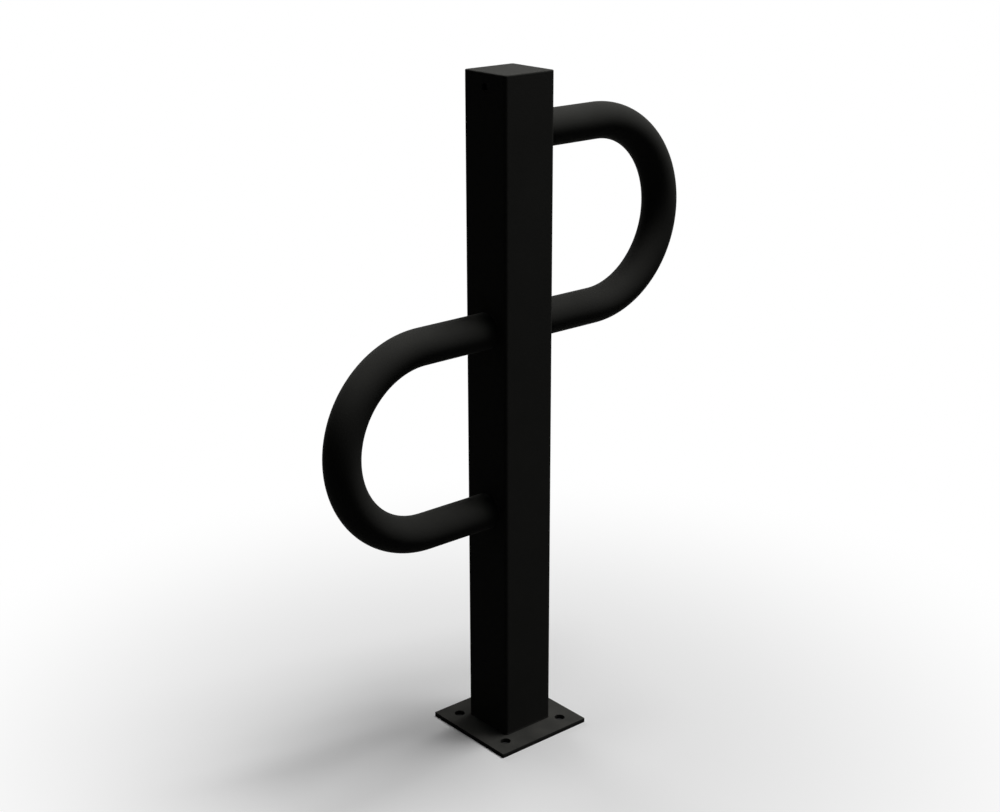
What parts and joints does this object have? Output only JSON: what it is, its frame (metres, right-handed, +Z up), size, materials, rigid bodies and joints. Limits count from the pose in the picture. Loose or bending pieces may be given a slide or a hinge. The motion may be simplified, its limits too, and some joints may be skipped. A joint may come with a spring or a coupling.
{
  "type": "bike bollard",
  "caption": "Square steel bollard on a bolt-down foot plate, with a bent-tube hoop on each side at different heights for leaning and locking bicycles.",
  "frame": {"origin": "on the ground under the post's axis, at the centre of the foot plate's underside", "axes": "+Z up along the post, +X towards the upper hoop, +Y square to the plane of the hoops"},
  "size_m": [0.5882, 0.15, 0.909],
  "materials": {
    "post_coat": "matte black powder coat on galvanised steel section",
    "hoop_coat": "matte black powder coat on galvanised bent tube",
    "plate_coat": "matte black powder coat on galvanised plate",
    "weld_coat": "matte black powder coat over a weld bead"
  },
  "bodies": {
    "root": {"base_plate": "plate_coat", "post": "post_coat", "post_cap": "post_coat", "cap_weld": "post_coat", "foot_weld": "weld_coat", "upper_hoop": "hoop_coat", "upper_hoop_top_weld": "weld_coat", "upper_hoop_bottom_weld": "weld_coat", "lower_hoop": "hoop_coat", "lower_hoop_top_weld": "weld_coat", "lower_hoop_bottom_weld": "weld_coat"}
  },
  "joints": []
}
